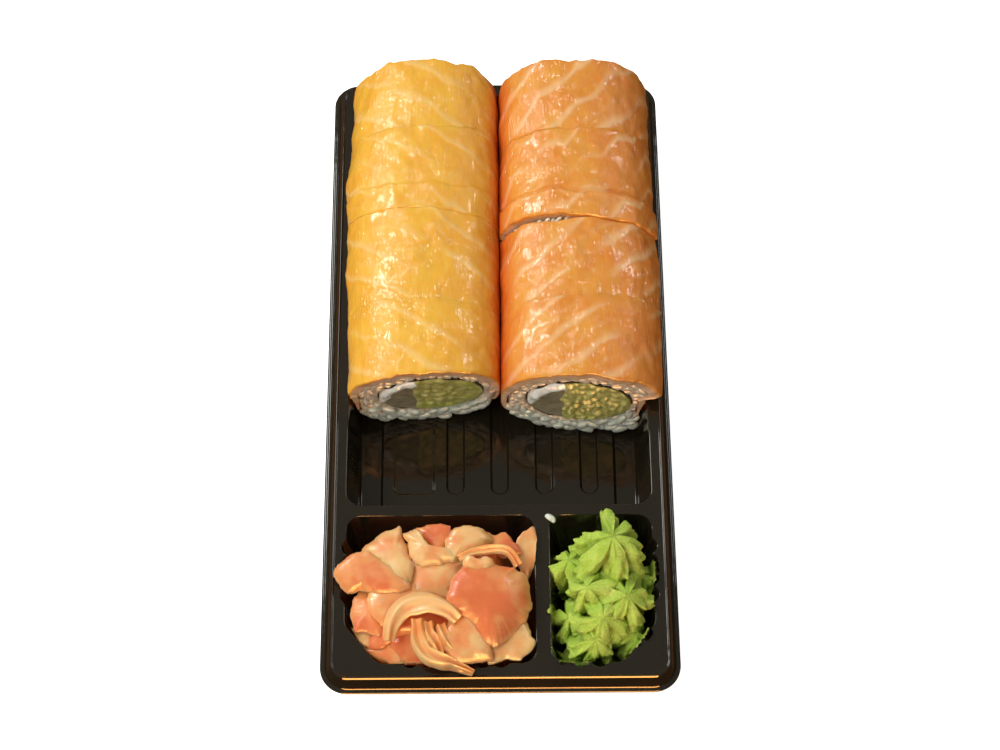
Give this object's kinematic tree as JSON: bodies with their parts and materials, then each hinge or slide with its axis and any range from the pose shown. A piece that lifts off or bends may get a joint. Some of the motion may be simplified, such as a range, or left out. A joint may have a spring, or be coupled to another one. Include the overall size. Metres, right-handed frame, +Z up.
{
  "type": "takeaway sushi tray",
  "caption": "Black thermoformed tray with sliced salmon-wrapped rolls, a heap of pickled ginger and piped wasabi in its own pockets.",
  "frame": {"origin": "bottom centre of the tray's bounding box, on the surface that it stands on", "axes": "+Z up, +Y along the tray's long side towards the closed end of the rolls, +X to the right with the small pockets nearest the viewer"},
  "size_m": [0.096, 0.1978, 0.0347],
  "materials": {
    "tray": "glossy black thermoformed sheet",
    "salmon": "moist raw salmon slice with pale fat lines",
    "rice": "cooked sushi rice, slightly moist grains",
    "nori": "dark dried seaweed sheet",
    "green": "moist cut cucumber and avocado",
    "cheese": "soft white cream cheese",
    "fish": "grey-brown cooked fish",
    "ginger": "moist translucent pickled ginger",
    "wasabi": "grainy piped paste"
  },
  "bodies": {
    "root": {"tray": "tray", "salmon_left_1": "salmon", "rice_left_1": "rice", "nori_left_1": "nori", "green_left_1": "green", "cheese_left_1": "cheese", "fish_left_1": "fish", "salmon_left_2": "salmon", "rice_left_2": "rice", "nori_left_2": "nori", "green_left_2": "green", "cheese_left_2": "cheese", "fish_left_2": "fish", "salmon_left_3": "salmon", "rice_left_3": "rice", "nori_left_3": "nori", "green_left_3": "green", "cheese_left_3": "cheese", "fish_left_3": "fish", "salmon_left_4": "salmon", "rice_left_4": "rice", "nori_left_4": "nori", "green_left_4": "green", "cheese_left_4": "cheese", "fish_left_4": "fish", "salmon_right_1": "salmon", "rice_right_1": "rice", "nori_right_1": "nori", "green_right_1": "green", "cheese_right_1": "cheese", "fish_right_1": "fish", "salmon_right_2": "salmon", "rice_right_2": "rice", "nori_right_2": "nori", "green_right_2": "green", "cheese_right_2": "cheese", "fish_right_2": "fish", "salmon_right_3": "salmon", "rice_right_3": "rice", "nori_right_3": "nori", "green_right_3": "green", "cheese_right_3": "cheese", "fish_right_3": "fish", "salmon_right_4": "salmon", "rice_right_4": "rice", "nori_right_4": "nori", "green_right_4": "green", "cheese_right_4": "cheese", "fish_right_4": "fish", "ginger": "ginger", "wasabi": "wasabi", "stray_rice": "rice"}
  },
  "joints": []
}
